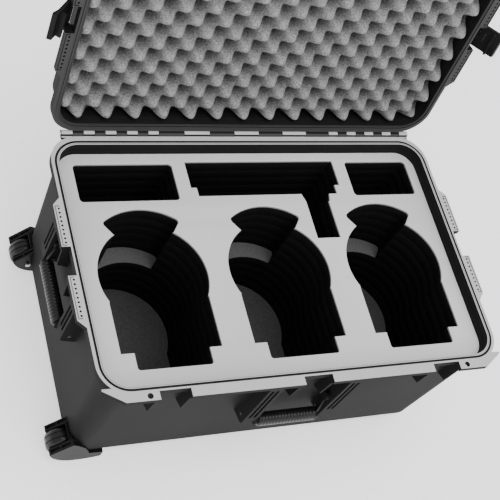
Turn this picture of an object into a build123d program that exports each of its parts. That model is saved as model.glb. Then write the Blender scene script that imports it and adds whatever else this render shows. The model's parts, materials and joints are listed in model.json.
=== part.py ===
from build123d import *
import os
from math import atan2, cos, degrees, radians, sin, sqrt, tan

# Wheeled transport case with a cut-foam insert for three aircraft bodies, shown with its lid open.
# Millimetres, +Z up. X runs along the length, the front (latches and front handle) faces -Y and the
# hinge is at +Y. The origin is on the ground under the middle of the base.

os.makedirs("parts", exist_ok=True)

# ---- shell ----
OPENING_X = 737.0            # inside of the base at the rim, along the length
OPENING_Y = 457.0            # inside of the base at the rim, front to back
WALL = 3.5                   # shell wall
FLOOR = 4.0                  # base floor and lid top
DRAFT = 2.85                 # moulding draft of every wall, degrees
CORNER_R = 40.5              # inside vertical corners at the rim
EDGE_R = 12.0                # outside edge between walls and floor
GROUND_GAP = 26.0            # ground to the underside of the shell
RAIL_Y = 140.0               # rails that the case stands on, from the centre line
RAIL_W = 26.0
RAIL_START = -270.0
RAIL_END = 40.0              # the rails stop this far inside the right end
BASE_HEIGHT = 308.0          # underside of the shell to the parting plane
LID_HEIGHT = 68.0            # parting plane to the top of the closed lid
LID_OPEN = 99.0              # opening angle of the lid, degrees

# ---- rim and flanges ----
BAND = 10.0                  # rim band beyond the outside of the wall
BACK_EXTRA = 4.0             # the band is this much wider along the hinge
BAND_T = 14.0                # height of the rim band on base and lid
FLANGE_OUT = 13.0            # front and end flanges beyond the band
FLANGE_T = 10.0              # flange thickness
FRONT_FLANGE_HALF = 344.0    # straight half length of the front flange
FRONT_FLANGE_SLOPE = 36.0    # run of its slanted ends
END_FLANGE_HALF = 108.0      # straight half length of the end flanges
END_FLANGE_SLOPE = 14.0
GROOVE_W = 4.0               # gasket groove in the base rim
GROOVE_D = 6.0
GROOVE_IN = 4.0              # groove's inside edge beyond the opening
SEAL_H = 3.2                 # gasket height in the groove
TONGUE_H = 2.2               # ridge under the lid rim that enters the groove
LINE_W = 0.8                 # fine line moulded inside the groove
HOLE_ROW_COUNT = 9           # holes in each end flange panel
HOLE_ROW_PITCH = 8.2
HOLE_ROW_R = 1.9

# ---- latches ----
FRONT_LATCH_X = 259.5        # outer front latches from the middle one
NOTCH_W = 54.0               # latch notch in both flanges
NOTCH_BITE = 2.0             # the notches cut this far into the band too
LATCH_SIDE_GAP = 2.0         # lever to the side of its notch
LATCH_PIN_R = 2.0
LATCH_PIN_UP = 22.0          # pin above the parting plane
LATCH_PIN_OUT = 8.0          # pin beyond the band
LATCH_DROP = 56.0            # pin to the tip of the lever
LATCH_OPEN = 40.0            # the lever hangs released at this angle
WEB_T = 4.0                  # webs under the base's flange beside each notch
WEB_DROP = 71.0
WEB_IN = 3.0                 # the webs stop this far inside the flange's edge
BUTTON_W = 20.0
BUTTON_H = 12.0
PADLOCK_R = 5.0              # padlock holes through both front flanges
PADLOCK_X = 303.0

# ---- hinge ----
HINGE_R = 6.1                # knuckle radius
HINGE_GAP = 0.3              # knuckles to the band of the other half
KNUCKLE_SIDE_GAP = 0.5       # side play between knuckles
HINGE_PIN_R = 2.5
NARROW_KNUCKLE = 20.0
WIDE_KNUCKLE = 50.0
NARROW_COUNT = 9             # at each end
WIDE_COUNT = 7               # in the middle
RUNNING_FIT = 0.05           # radial clearance on every pin

# ---- carrying handles ----
BRACKET_IN = 64.0            # inner face of each bracket from the handle's middle
BRACKET_W = 26.0
FRONT_BRACKET_DROP = 162.0   # bottom of the front brackets below the parting plane
END_BRACKET_DROP = 119.0
GRIP_ABOVE_BOTTOM = 10.0     # grip axis above the bottom of its brackets
HANDLE_ARM = 57.0            # pivot to grip
HANDLE_LEAN = 9.0            # the stowed handle leans out by this angle
PIVOT_OUT = 9.0              # pivot beyond the wall at the rim
TRUNNION_R = 4.0
GRIP_R = 12.5
BAIL_GAP = 1.0               # arms to the brackets
BAIL_ARM_W = 6.5
HANDLE_CORE_R = 5.0          # steel bar inside the grip
STOP_PIN_R = 2.5
STOP_PIN_UP = 12.5           # stop pins above the stowed grip's axis
STOP_PIN_BACK = 4.5          # their surface to the middle of the arms

# ---- wheels ----
WHEEL_R = 30.0
WHEEL_W = 30.0
WHEEL_LIFT = 1.0             # the wheels clear the ground while the case stands
WHEEL_OUT = 5.8              # axle beyond the end of the shell at the floor
WHEEL_Y = 192.0              # middle of each wheel from the centre line
HUB_R = 20.0
AXLE_R = 3.5
AXLE_NUT_R = 5.2
WELL_GAP = 3.5               # wheel to the housing
WELL_HEAD = 14.5             # wheel to the top of its well
HOUSING_IN_Y = 165.0
HOUSING_OUT_Y = 221.0
NOSE_RUN = 28.5              # axle to the foot of the housing's sloped face
NOSE_Z = 37.0
SLOPE_TOP_RUN = 5.5          # axle back to the head of the sloped face
BELLY_RUN = 27.0             # axle back to where the rounded underside is lowest
TAIL_RUN = 72.0              # axle back to the end of the housing's tail
TAIL_Z = 7.5
FOOT_IN_Y = 194.0            # the tail's foot reaches this far in under the floor
SLOT_L = 20.0                # two slots in a line on each cheek's sloped face
SLOT_W = 4.6
SLOT_D = 4.0
SLOT_BRIDGE = 3.0
SCREW_R = 2.0
SCREW_HEAD_R = 4.2

# ---- pull handle, under the end away from the wheels ----
PULL_Y = 70.0                # each tube from the centre line
PULL_TUBE_R = 7.5
PULL_TUBE_WALL = 1.2
PULL_INNER_R = 6.0
PULL_LENGTH = 430.0
PULL_GRIP_GAP = 4.5          # stowed grip to the end wall
PULL_GRIP_T = 22.0
PULL_GRIP_H = 28.0
CLAMP_XS = (-60.0, 130.0, 320.0)

# ---- pressure valve, on the end away from the wheels ----
VALVE_Y = 150.0
VALVE_DOWN = 126.0           # valve below the parting plane
VALVE_R = 16.0
VALVE_NECK_R = 10.0
VALVE_BOSS_OUT = 2.0         # face of its boss beyond the wall at the rim

# ---- foam insert ----
FOAM_DOWN = 26.0             # foam top below the parting plane
FOAM_GAP = 0.6               # foam to the shell walls
SHEET_T = 4.0                # light facing sheet
LAYER_T = 25.4               # foam plank
UPPER_LAYERS = 5
FLOOR_PAD_MIN = 30.0         # least foam left under the bays
FOAM_REST = 0.2              # foam above the floor
BAY_PITCH = 240.0            # three equal bays
BAY_FIRST_X = -236.0
BAY_CIRCLE_R = 98.75
BAY_CIRCLE_Y = -21.0
BAY_HALF = 89.5              # straight sides of a bay
BAY_SHOULDER_Y = -160.0
BAY_FOOT_HALF = 66.5
BAY_FOOT_Y = -191.0
BAY_FOOT_R = 5.0
CAP_HALF = 71.5              # the wider cap above the neck of each bay
CAP_SIDE_Y = 85.0
CAP_TOP_Y = 110.0
NECK_HALF = 55.0
NECK_Y = 62.0
LID_FOAM_DOWN = 8.0          # lid foam inside the lid's rim plane

# ---- worked out from the above ----
RIM_Z = GROUND_GAP + BASE_HEIGHT
IN_X = OPENING_X / 2
IN_Y = OPENING_Y / 2
OUT_X = IN_X + WALL
OUT_Y = IN_Y + WALL
BAND_X = OUT_X + BAND
BAND_Y = OUT_Y + BAND
BACK_Y = BAND_Y + BACK_EXTRA
FLANGE_X = BAND_X + FLANGE_OUT
FLANGE_Y = BAND_Y + FLANGE_OUT
HINGE_Y = BACK_Y + HINGE_R + HINGE_GAP
DRAFT_TAN = tan(radians(DRAFT))
FLOOR_Z = GROUND_GAP + FLOOR
FOAM_TOP = RIM_Z - FOAM_DOWN
LEDGE_Z = FOAM_TOP - SHEET_T - UPPER_LAYERS * LAYER_T
LOWER_LAYERS = int((LEDGE_Z - FLOOR_Z - FLOOR_PAD_MIN) / LAYER_T)
DEEP_Z = LEDGE_Z - LOWER_LAYERS * LAYER_T
LATCH_W = NOTCH_W - 2 * LATCH_SIDE_GAP
ARM_OUT = BRACKET_IN - BAIL_GAP
GRIP_HALF = ARM_OUT - BAIL_ARM_W
WHEEL_Z = WHEEL_R + WHEEL_LIFT
WHEEL_X = -(OUT_X - BASE_HEIGHT * DRAFT_TAN) - WHEEL_OUT
WELL_X = WHEEL_X + WHEEL_R + WELL_GAP
WELL_Z = WHEEL_Z + WHEEL_R + WELL_HEAD
NOSE_X = WHEEL_X - NOSE_RUN
BELLY_X = WHEEL_X + BELLY_RUN
TAIL_X = WHEEL_X + TAIL_RUN
WELL_IN_Y = WHEEL_Y - WHEEL_W / 2 - 7.0
WELL_OUT_Y = OUT_Y - BASE_HEIGHT * DRAFT_TAN - 4.7
HINGE_LINE = Axis((0, HINGE_Y, RIM_Z), (1, 0, 0))
PULL_Z = GROUND_GAP - PULL_TUBE_R - 1.2
PULL_END_X = OUT_X - BASE_HEIGHT * DRAFT_TAN + PULL_GRIP_GAP
VALVE_Z = RIM_Z - VALVE_DOWN
VALVE_BOSS_X = OUT_X + VALVE_BOSS_OUT


def block(x0, x1, y0, y1, z0, z1):
    """A box between two corners."""
    return Pos((x0 + x1) / 2, (y0 + y1) / 2, (z0 + z1) / 2) * Box(x1 - x0, y1 - y0, z1 - z0)


def rod_x(radius, x0, x1, y, z):
    return Pos((x0 + x1) / 2, y, z) * Rot(0, 90, 0) * Cylinder(radius, x1 - x0)


def rod_y(radius, y0, y1, x, z):
    return Pos(x, (y0 + y1) / 2, z) * Rot(90, 0, 0) * Cylinder(radius, y1 - y0)


def rod_z(radius, z0, z1, x, y):
    return Pos(x, y, (z0 + z1) / 2) * Cylinder(radius, z1 - z0)


def profile_x(points, x0, x1):
    """A (y, z) outline extruded along X."""
    face = make_face(Plane.YZ * Polyline(*points, close=True))
    return Pos(x0, 0, 0) * extrude(face, amount=x1 - x0, dir=(1, 0, 0))


def drafted(half_x, half_y, corner, z0, depth):
    """A rounded block that narrows with the draft as it leaves z0; a negative depth goes down."""
    way = 1 if depth > 0 else -1
    plane = Plane(origin=(0, 0, z0), x_dir=(1, 0, 0), z_dir=(0, 0, way))
    face = plane * RectangleRounded(2 * half_x, 2 * half_y, corner)
    return extrude(face, amount=abs(depth), taper=DRAFT)


def narrowed(half_size, drop):
    """Half size of a drafted wall at a distance from the parting plane."""
    return half_size - drop * DRAFT_TAN


def far_edges(solid, z):
    """The outline edges of a solid's end face at z."""
    return solid.faces().sort_by(lambda f: abs(f.center().Z - z))[0].edges()


def ring(beyond, width, z0, z1):
    """A rounded frame round the opening, from beyond to beyond + width outside it."""
    outer = RectangleRounded(2 * (IN_X + beyond + width), 2 * (IN_Y + beyond + width),
                             CORNER_R + beyond + width)
    inner = RectangleRounded(2 * (IN_X + beyond), 2 * (IN_Y + beyond), CORNER_R + beyond)
    return Pos(0, 0, z0) * extrude(outer - inner, amount=z1 - z0)


def flange_outline():
    """The flanges' plan: front flange and both end flanges, with their latch notches."""
    reach = FRONT_FLANGE_HALF + FRONT_FLANGE_SLOPE
    front = make_face(Polyline((-FRONT_FLANGE_HALF, -FLANGE_Y), (FRONT_FLANGE_HALF, -FLANGE_Y),
                               (reach, -OUT_Y), (reach, -IN_Y), (-reach, -IN_Y),
                               (-reach, -OUT_Y), close=True))
    plan = Sketch() + front
    side = END_FLANGE_HALF + END_FLANGE_SLOPE
    for way in (-1, 1):
        plan += make_face(Polyline((way * IN_X, -side), (way * BAND_X, -side),
                                   (way * FLANGE_X, -END_FLANGE_HALF),
                                   (way * FLANGE_X, END_FLANGE_HALF),
                                   (way * BAND_X, side), (way * IN_X, side), close=True))
    return plan - latch_notches()


def latch_notches():
    """Plan of what the latches need cut from the flanges and the edge of the band."""
    depth = 2 * FLANGE_OUT
    plan = Sketch()
    for x in (-FRONT_LATCH_X, 0, FRONT_LATCH_X):
        plan += Pos(x, -BAND_Y + NOTCH_BITE - depth / 2) * Rectangle(NOTCH_W, depth)
    for way in (-1, 1):
        plan += Pos(way * (BAND_X - NOTCH_BITE + depth / 2), 0) * Rectangle(depth, NOTCH_W)
    return plan


def rim_solid(way):
    """Band and flanges of the base (way = -1) or of the closed lid (way = 1)."""
    band_y = (BACK_Y - BAND_Y) / 2
    band = Pos(0, band_y) * RectangleRounded(2 * BAND_X, BAND_Y + BACK_Y, CORNER_R + WALL + BAND)
    band -= latch_notches()
    low = RIM_Z if way > 0 else RIM_Z - BAND_T
    solid = Pos(0, 0, low) * extrude(band, amount=BAND_T)
    low = RIM_Z if way > 0 else RIM_Z - FLANGE_T
    solid += Pos(0, 0, low) * extrude(flange_outline(), amount=FLANGE_T)
    return solid


def flange_holes(way):
    """Padlock holes, and the hole rows with their fine frames on the end flanges."""
    low = RIM_Z - FLANGE_T - 1 if way < 0 else RIM_Z - 1
    cuts = Part()
    for x in (-PADLOCK_X, PADLOCK_X):
        cuts += rod_z(PADLOCK_R, low, low + FLANGE_T + 2, x, -BAND_Y - PADLOCK_R)
    half_row = HOLE_ROW_PITCH * (HOLE_ROW_COUNT - 1) / 2
    row_y = (NOTCH_W / 2 + END_FLANGE_HALF) / 2
    row_x = BAND_X + 4.5
    frame_x = FLANGE_X - 3.6
    frame_z0 = RIM_Z - 2 if way < 0 else RIM_Z - 1
    for side in (-1, 1):
        for end in (-1, 1):
            for index in range(HOLE_ROW_COUNT):
                y = end * row_y - half_row + index * HOLE_ROW_PITCH
                cuts += rod_z(HOLE_ROW_R, low, low + FLANGE_T + 2, side * row_x, y)
            reach = half_row + 5.0
            x0, x1 = sorted((side * frame_x, side * (frame_x + 1.4)))
            cuts += block(x0, x1, end * row_y - reach, end * row_y + reach, frame_z0, frame_z0 + 3)
            x0, x1 = sorted((side * (row_x - 1.5), side * (frame_x + 1.4)))
            for y in (end * row_y - reach, end * row_y + reach):
                cuts += block(x0, x1, y - 0.7, y + 0.7, frame_z0, frame_z0 + 3)
    return cuts


def knuckle_spans():
    """(x0, x1, on_base) for each hinge knuckle, from the left end; narrow groups begin and end
    on the base."""
    widths = [NARROW_KNUCKLE] * NARROW_COUNT + [WIDE_KNUCKLE] * WIDE_COUNT
    widths += [NARROW_KNUCKLE] * NARROW_COUNT
    x = -sum(widths) / 2
    spans = []
    for index, width in enumerate(widths):
        spans.append((x, x + width, index % 2 == 0))
        x += width
    return spans


def knuckles(on_base):
    """Knuckles of one half with the webs that carry them."""
    solid = Part()
    for x0, x1, base_side in knuckle_spans():
        if base_side != on_base:
            continue
        a = x0 + KNUCKLE_SIDE_GAP / 2
        b = x1 - KNUCKLE_SIDE_GAP / 2
        solid += rod_x(HINGE_R, a, b, HINGE_Y, RIM_Z)
        z0, z1 = (RIM_Z - HINGE_R, RIM_Z) if on_base else (RIM_Z, RIM_Z + HINGE_R)
        solid += block(a, b, BACK_Y - 3, HINGE_Y, z0, z1)
    return solid


def hinge_half():
    return sum(x1 - x0 for x0, x1, _ in knuckle_spans()) / 2


def turned(solid, side):
    """Something built facing the front, turned to face the left or the right end."""
    angle = {"front": 0, "left": -90, "right": 90}[side]
    return Rot(0, 0, angle) * solid


SIDES = {"front": (OUT_Y, FRONT_BRACKET_DROP), "left": (OUT_X, END_BRACKET_DROP),
         "right": (OUT_X, END_BRACKET_DROP)}


def handle_axis(side):
    """(outward distance, z) of a handle's pivot, and of its stowed grip."""
    wall, drop = SIDES[side]
    lean = radians(HANDLE_LEAN)
    pivot_out = wall + PIVOT_OUT
    grip_z = RIM_Z - drop + GRIP_ABOVE_BOTTOM
    pivot_z = grip_z + HANDLE_ARM * cos(lean)
    return pivot_out, pivot_z, pivot_out + HANDLE_ARM * sin(lean), grip_z


def handle_brackets(side):
    """The two moulded brackets of one handle, facing the front."""
    wall, drop = SIDES[side]
    edge = wall + BAND + FLANGE_OUT
    top = RIM_Z - FLANGE_T
    bottom = RIM_Z - drop
    pivot_out, pivot_z, grip_out, grip_z = handle_axis(side)
    root = narrowed(wall, drop) - WALL / 2
    solid = Part()
    for way in (-1, 1):
        x0, x1 = sorted((way * BRACKET_IN, way * (BRACKET_IN + BRACKET_W)))
        bracket = profile_x([(-root, top), (-edge, top), (-edge, bottom + 14), (-edge + 4, bottom + 9),
                             (-root, bottom)], x0, x1)
        for share in (0.34, 0.69):
            x = way * (BRACKET_IN + share * BRACKET_W)
            slot = block(x - 2.6, x + 2.6, -edge - 1, -edge + 8, bottom + 36, top - 6)
            slot += Pos(x, -edge + 3.5, bottom + 36) * Rot(90, 0, 0) * Cylinder(2.6, 9)
            bracket -= slot
        inner = way * BRACKET_IN
        x0, x1 = sorted((inner - way, inner + way * 10))
        bracket -= rod_x(TRUNNION_R + RUNNING_FIT, x0, x1, -pivot_out, pivot_z)
        x0, x1 = sorted((inner - way, inner + way * (BRACKET_W + 1)))
        bracket -= rod_x(STOP_PIN_R, x0, x1, -stop_out(side), stop_z(side))
        solid += bracket
    return solid


def stop_z(side):
    return handle_axis(side)[3] + STOP_PIN_UP


def stop_out(side):
    """The stop pins lie just behind the arms of the stowed handle."""
    pivot_out, pivot_z, grip_out, grip_z = handle_axis(side)
    share = (pivot_z - stop_z(side)) / (pivot_z - grip_z)
    return pivot_out + share * (grip_out - pivot_out) - STOP_PIN_BACK - STOP_PIN_R


def stop_pins(side):
    """Steel pins through both brackets, which the stowed handle rests on."""
    pins = Part()
    for way in (-1, 1):
        inner = way * (BRACKET_IN - 7)
        outer = way * (BRACKET_IN + BRACKET_W + 0.6)
        x0, x1 = sorted((inner, outer))
        pins += rod_x(STOP_PIN_R, x0, x1, -stop_out(side), stop_z(side))
    return turned(pins, side)


def handle_bail(side):
    """Arms, trunnions and the core bar of one handle, stowed."""
    pivot_out, pivot_z, grip_out, grip_z = handle_axis(side)
    solid = rod_x(HANDLE_CORE_R, -ARM_OUT, ARM_OUT, -grip_out, grip_z)
    for way in (-1, 1):
        x0, x1 = sorted((way * GRIP_HALF, way * ARM_OUT))
        solid += rod_x(8.0, x0, x1, -pivot_out, pivot_z)
        solid += rod_x(9.0, x0, x1, -grip_out, grip_z)
        arm = Pos(0, 0, -HANDLE_ARM / 2) * Box(x1 - x0, 8.0, HANDLE_ARM)
        solid += Pos((x0 + x1) / 2, -pivot_out, pivot_z) * Rot(-HANDLE_LEAN, 0, 0) * arm
        a, b = sorted((way * (BRACKET_IN - 2), way * (BRACKET_IN + 9)))
        solid += rod_x(TRUNNION_R, a, b, -pivot_out, pivot_z)
    return turned(solid, side)


def handle_grip(side):
    """Soft sleeve on the core bar."""
    pivot_out, pivot_z, grip_out, grip_z = handle_axis(side)
    reach = GRIP_HALF - 0.3
    sleeve = rod_x(GRIP_R, -reach, reach, -grip_out, grip_z)
    sleeve -= rod_x(HANDLE_CORE_R, -reach - 1, reach + 1, -grip_out, grip_z)
    return turned(sleeve, side)


def latch_places():
    """name, side, offset along the edge, band distance."""
    return [("front_left", "front", -FRONT_LATCH_X, BAND_Y), ("front_middle", "front", 0.0, BAND_Y),
            ("front_right", "front", FRONT_LATCH_X, BAND_Y), ("left_end", "left", 0.0, BAND_X),
            ("right_end", "right", 0.0, BAND_X)]


def notch_webs():
    """Deep webs under the base's flange, one on each side of every latch notch."""
    solid = Part()
    top = RIM_Z - FLANGE_T + 1
    for _, side, offset, edge in latch_places():
        root = narrowed(edge - BAND, WEB_DROP) - WALL / 2
        reach = edge + FLANGE_OUT - WEB_IN
        outline = [(-root, top), (-reach, top), (-reach + 3.5, RIM_Z - WEB_DROP + 10),
                   (-root - WALL / 2, RIM_Z - WEB_DROP), (-root, RIM_Z - WEB_DROP)]
        for way in (-1, 1):
            a, b = sorted((way * (NOTCH_W / 2 + 0.2), way * (NOTCH_W / 2 + 0.2 + WEB_T)))
            solid += turned(profile_x(outline, offset + a, offset + b), side)
    return solid


def latch_ears():
    """Ears on the closed lid that carry the latch pins."""
    solid = Part()
    for _, side, offset, edge in latch_places():
        for way in (-1, 1):
            a, b = sorted((way * (NOTCH_W / 2 + 0.2), way * (NOTCH_W / 2 + 5.2)))
            ear = block(offset + a, offset + b, -edge - 12.5, -edge + 4, RIM_Z + 1, RIM_Z + LATCH_PIN_UP)
            ear += rod_x(6.0, offset + a, offset + b, -edge - LATCH_PIN_OUT + 1.5, RIM_Z + LATCH_PIN_UP)
            solid += turned(ear, side)
            pin = rod_x(LATCH_PIN_R, offset + a - 1, offset + b + 1, -edge - LATCH_PIN_OUT,
                        RIM_Z + LATCH_PIN_UP)
            solid -= turned(pin, side)
    return solid


def latch_pins():
    pins = Part()
    for _, side, offset, edge in latch_places():
        half = NOTCH_W / 2 + 5.6
        pin = rod_x(LATCH_PIN_R, offset - half, offset + half, -edge - LATCH_PIN_OUT, RIM_Z + LATCH_PIN_UP)
        pins += turned(pin, side)
    return pins


def released(solid, offset, edge):
    """A latch piece built closed, swung out to where it hangs released."""
    axis = Axis((offset, -edge - LATCH_PIN_OUT, RIM_Z + LATCH_PIN_UP), (1, 0, 0))
    return solid.rotate(axis, -LATCH_OPEN)


def latch_lever(offset, edge):
    """Lever with hook and button window, closed, facing the front."""
    pin_z = RIM_Z + LATCH_PIN_UP
    out = -edge - LATCH_PIN_OUT
    half = LATCH_W / 2
    tip = pin_z - LATCH_DROP
    plate = profile_x([(out - 4, pin_z + 4), (out + 3, pin_z + 8), (out + 4, pin_z - 2), (out + 2, pin_z - 6),
                       (out + 2, tip + 2), (out - 6, tip), (out - 7, tip + 4), (out - 4, tip + 16)],
                      offset - half, offset + half)
    plate += rod_x(5.0, offset - half, offset + half, out, pin_z)
    hook_z = RIM_Z - BAND_T - 1.5
    plate += block(offset - half + 2, offset + half - 2, out, -edge + 3, hook_z - 4.5, hook_z)
    plate -= rod_x(LATCH_PIN_R + RUNNING_FIT, offset - half - 1, offset + half + 1, out, pin_z)
    z = RIM_Z + 4
    plate -= block(offset - BUTTON_W / 2, offset + BUTTON_W / 2, out - 12, out + 12,
                   z - BUTTON_H / 2, z + BUTTON_H / 2)
    for step in range(3):
        z = tip + 20 + 4 * step
        plate -= block(offset - half + 6, offset + half - 6, out - 9, out - 3.2, z - 0.8, z + 0.8)
    return plate


def latch_button(offset, edge):
    out = -edge - LATCH_PIN_OUT
    z = RIM_Z + 4
    gap = 0.5
    button = block(offset - BUTTON_W / 2 + gap, offset + BUTTON_W / 2 - gap, out - 6.5, out + 3,
                   z - BUTTON_H / 2 + gap, z + BUTTON_H / 2 - gap)
    return fillet(button.edges().group_by(Axis.Y)[0], 0.9)


def opened(solid):
    """A piece of the closed lid, turned to the open stop."""
    return solid.rotate(HINGE_LINE, -LID_OPEN)


def tub():
    """Outside of the base as one solid."""
    solid = drafted(OUT_X, OUT_Y, CORNER_R + WALL, RIM_Z, -BASE_HEIGHT)
    return fillet(far_edges(solid, GROUND_GAP), EDGE_R)


def tub_inside():
    depth = RIM_Z - FLOOR_Z
    solid = drafted(IN_X, IN_Y, CORNER_R, RIM_Z, -depth)
    return fillet(far_edges(solid, FLOOR_Z), EDGE_R - WALL)


def well_boxes(grow):
    """Room for the wheels in both corners of the left end, grown by a wall."""
    boxes = Part()
    for way in (-1, 1):
        y0, y1 = sorted((way * (WELL_IN_Y - grow), way * (WELL_OUT_Y + 30 * (grow > 0))))
        boxes += block(-OUT_X - 40, WELL_X + grow, y0, y1, -1, WELL_Z + grow)
    return boxes


def above_rim(way):
    """The plain inside of the opening, to clear flanges from it."""
    z0 = RIM_Z - BAND_T - 1 if way < 0 else RIM_Z - 1
    face = RectangleRounded(2 * IN_X, 2 * IN_Y, CORNER_R)
    return Pos(0, 0, z0) * extrude(face, amount=BAND_T + 2)


def rails():
    """Three moulded rails under the floor, which the case stands on."""
    solid = Part()
    x1 = narrowed(OUT_X, BASE_HEIGHT) - RAIL_END
    for y in (-RAIL_Y, 0, RAIL_Y):
        rail = block(RAIL_START, x1, y - RAIL_W / 2, y + RAIL_W / 2, 0, GROUND_GAP + 1)
        solid += chamfer(rail.edges().group_by(Axis.Z)[0], 3)
    return solid


def pressure_valve_body():
    solid = rod_x(VALVE_R, VALVE_BOSS_X + 1.5, VALVE_BOSS_X + 8, VALVE_Y, VALVE_Z)
    solid = fillet(solid.edges().filter_by(GeomType.CIRCLE).sort_by(Axis.X)[-1], 2)
    solid += rod_x(VALVE_NECK_R, narrowed(IN_X, RIM_Z - VALVE_Z) + 0.3, VALVE_BOSS_X + 3, VALVE_Y, VALVE_Z)
    for index in range(12):
        notch = Pos(VALVE_BOSS_X + 5, 0, VALVE_R) * Box(8, 2.2, 2.4)
        solid -= Pos(0, VALVE_Y, VALVE_Z) * Rot(30 * index, 0, 0) * notch
    return solid


def pressure_valve_seal():
    x0 = VALVE_BOSS_X
    outer = rod_x(VALVE_R - 1.5, x0, x0 + 1.5, VALVE_Y, VALVE_Z)
    return outer - rod_x(VALVE_NECK_R, x0 - 1, x0 + 3, VALVE_Y, VALVE_Z)


def pull_outer_tubes():
    tubes = Part()
    end = narrowed(OUT_X, BASE_HEIGHT) - 6
    start = PULL_END_X - PULL_LENGTH - 4
    for y in (-PULL_Y, PULL_Y):
        tube = rod_x(PULL_TUBE_R, start, end, y, PULL_Z)
        tube -= rod_x(PULL_TUBE_R - PULL_TUBE_WALL, start + 2, end + 1, y, PULL_Z)
        tubes += tube
    return tubes


def clamp_screw_places():
    return [(x, y + way * 14.0) for x in CLAMP_XS for y in (-PULL_Y, PULL_Y) for way in (-1, 1)]


def pull_clamps():
    """Saddles that hold the outer tubes to the underside."""
    solid = Part()
    for x in CLAMP_XS:
        for y in (-PULL_Y, PULL_Y):
            saddle = block(x - 9, x + 9, y - 20, y + 20, GROUND_GAP - 5, GROUND_GAP)
            saddle += rod_x(PULL_TUBE_R + 1.6, x - 9, x + 9, y, PULL_Z)
            saddle += block(x - 9, x + 9, y - PULL_TUBE_R - 1.6, y + PULL_TUBE_R + 1.6, PULL_Z, GROUND_GAP)
            saddle -= rod_x(PULL_TUBE_R, x - 10, x + 10, y, PULL_Z)
            solid += saddle
    for x, y in clamp_screw_places():
        solid -= rod_z(2.0, 0, GROUND_GAP + 1, x, y)
    return solid - block(-500, 500, -400, 400, GROUND_GAP, GROUND_GAP + 20)


def pull_clamp_screws():
    solid = Part()
    for x, y in clamp_screw_places():
        solid += rod_z(2.0, GROUND_GAP - 6, FLOOR_Z - 0.5, x, y)
        solid += rod_z(3.8, GROUND_GAP - 7.5, GROUND_GAP - 5, x, y)
    return solid


def pull_inner_tubes():
    tubes = Part()
    for y in (-PULL_Y, PULL_Y):
        tubes += rod_x(PULL_INNER_R, PULL_END_X - PULL_LENGTH, PULL_END_X + 8, y, PULL_Z)
    return tubes


def pull_grip():
    half = PULL_Y + 16
    x0 = PULL_END_X
    body = block(x0, x0 + PULL_GRIP_T, -half, half, PULL_Z - 6.5, PULL_Z - 6.5 + PULL_GRIP_H)
    body = fillet(body.edges().filter_by(Axis.Z), 7)
    body = fillet(body.edges().group_by(Axis.Z)[-1], 4)
    body -= block(x0 + 5, x0 + PULL_GRIP_T - 5, -PULL_Y + 16, PULL_Y - 16, PULL_Z - 8, PULL_Z + 14)
    for y in (-PULL_Y, PULL_Y):
        body -= rod_x(PULL_INNER_R, x0 - 1, x0 + 8, y, PULL_Z)
    x1 = x0 + PULL_GRIP_T
    body -= block(x1 - 4.5, x1 + 1, -16, 16, PULL_Z + 1, PULL_Z + 13)
    return body


def pull_release_button():
    x1 = PULL_END_X + PULL_GRIP_T
    gap = 0.5
    button = block(x1 - 1.4, x1 + 2.2, -16 + gap, 16 - gap, PULL_Z + 1 + gap, PULL_Z + 13 - gap)
    return fillet(button.edges().group_by(Axis.X)[-1], 0.8)


def base_shell():
    outside = tub() - well_boxes(0)
    inside = tub_inside() - well_boxes(WALL)
    solid = outside + rim_solid(-1) + knuckles(True) + notch_webs() + rails()
    for side in SIDES:
        solid += turned(handle_brackets(side), side)
    solid += rod_x(VALVE_R + 3, narrowed(OUT_X, RIM_Z - VALVE_Z) - WALL, VALVE_BOSS_X, VALVE_Y, VALVE_Z)
    solid -= inside
    solid -= above_rim(-1)
    solid -= ring(GROOVE_IN, GROOVE_W, RIM_Z - GROOVE_D, RIM_Z + 1)
    solid -= ring(1.8, LINE_W, RIM_Z - 0.8, RIM_Z + 1)
    solid -= flange_holes(-1)
    solid -= rod_x(HINGE_PIN_R + RUNNING_FIT, -hinge_half() - 1, hinge_half() + 1, HINGE_Y, RIM_Z)
    solid -= rod_x(VALVE_NECK_R, IN_X - 30, OUT_X + 30, VALVE_Y, VALVE_Z)
    for x, y in clamp_screw_places():
        solid -= rod_z(2.0, GROUND_GAP - 1, FLOOR_Z - 0.5, x, y)
    for way in (-1, 1):
        x, y = housing_screw_place(way)
        solid -= rod_z(SCREW_R, GROUND_GAP - 1, FLOOR_Z - 0.5, x, y)
    return solid


def gasket():
    return ring(GROOVE_IN, GROOVE_W, RIM_Z - GROOVE_D, RIM_Z - GROOVE_D + SEAL_H)


def hinge_pin():
    half = hinge_half()
    return rod_x(HINGE_PIN_R, -half, half, HINGE_Y, RIM_Z)


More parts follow.
